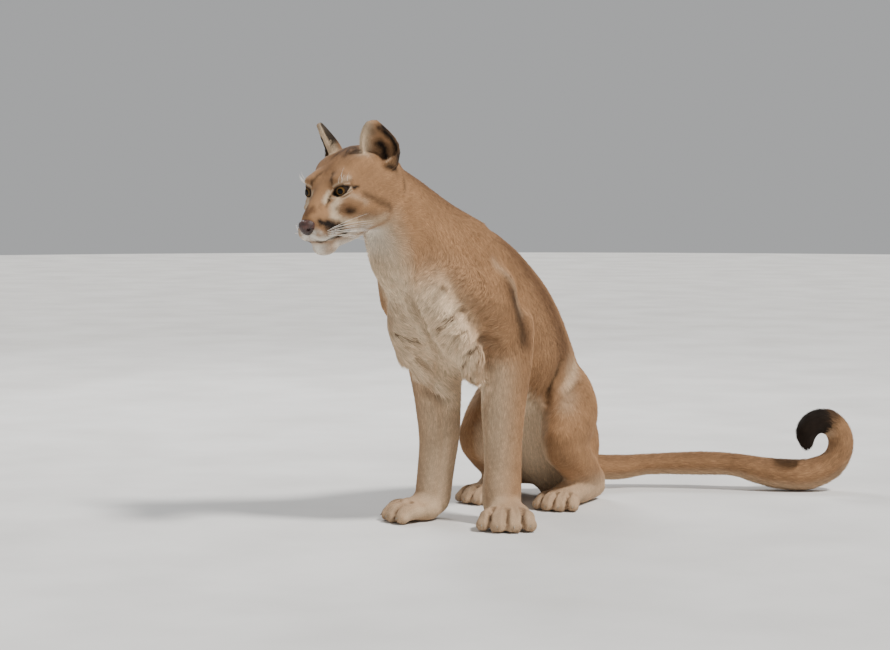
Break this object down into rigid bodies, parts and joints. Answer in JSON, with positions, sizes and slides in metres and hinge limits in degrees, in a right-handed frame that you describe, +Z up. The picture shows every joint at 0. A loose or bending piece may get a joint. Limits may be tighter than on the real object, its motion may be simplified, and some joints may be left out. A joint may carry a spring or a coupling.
{
  "type": "cougar",
  "caption": "Still, life-size cougar sitting on its haunches, head turned aside, tail laid out along the floor and curled at the tip.",
  "frame": {"origin": "bottom centre of the bounding box, on the floor", "axes": "+Z up, -Y the way the hips face, +X the animal's own left; the chest, neck and head turn towards -X and the tail runs back and to +X"},
  "size_m": [0.8134, 1.1866, 0.8298],
  "materials": {
    "coat": "short tawny fur",
    "paw_coat": "short pale tawny fur",
    "ear_coat": "short fur, dark behind and pale inside",
    "dark_coat": "black-brown fur",
    "eye": "wet, glossy",
    "nose_skin": "bare, slightly moist"
  },
  "bodies": {
    "root": {"head": "coat", "neck": "coat", "torso": "coat", "foreleg_left": "coat", "foreleg_right": "coat", "forepaw_left": "paw_coat", "forepaw_right": "paw_coat", "hindleg_left": "coat", "hindleg_right": "coat", "hindpaw_left": "paw_coat", "hindpaw_right": "paw_coat", "tail_root": "coat", "tail_middle": "coat", "tail_curl": "coat", "tail_tip": "dark_coat", "ear_left": "ear_coat", "ear_right": "ear_coat", "eye_left": "eye", "eye_right": "eye", "nose": "nose_skin"}
  },
  "joints": []
}
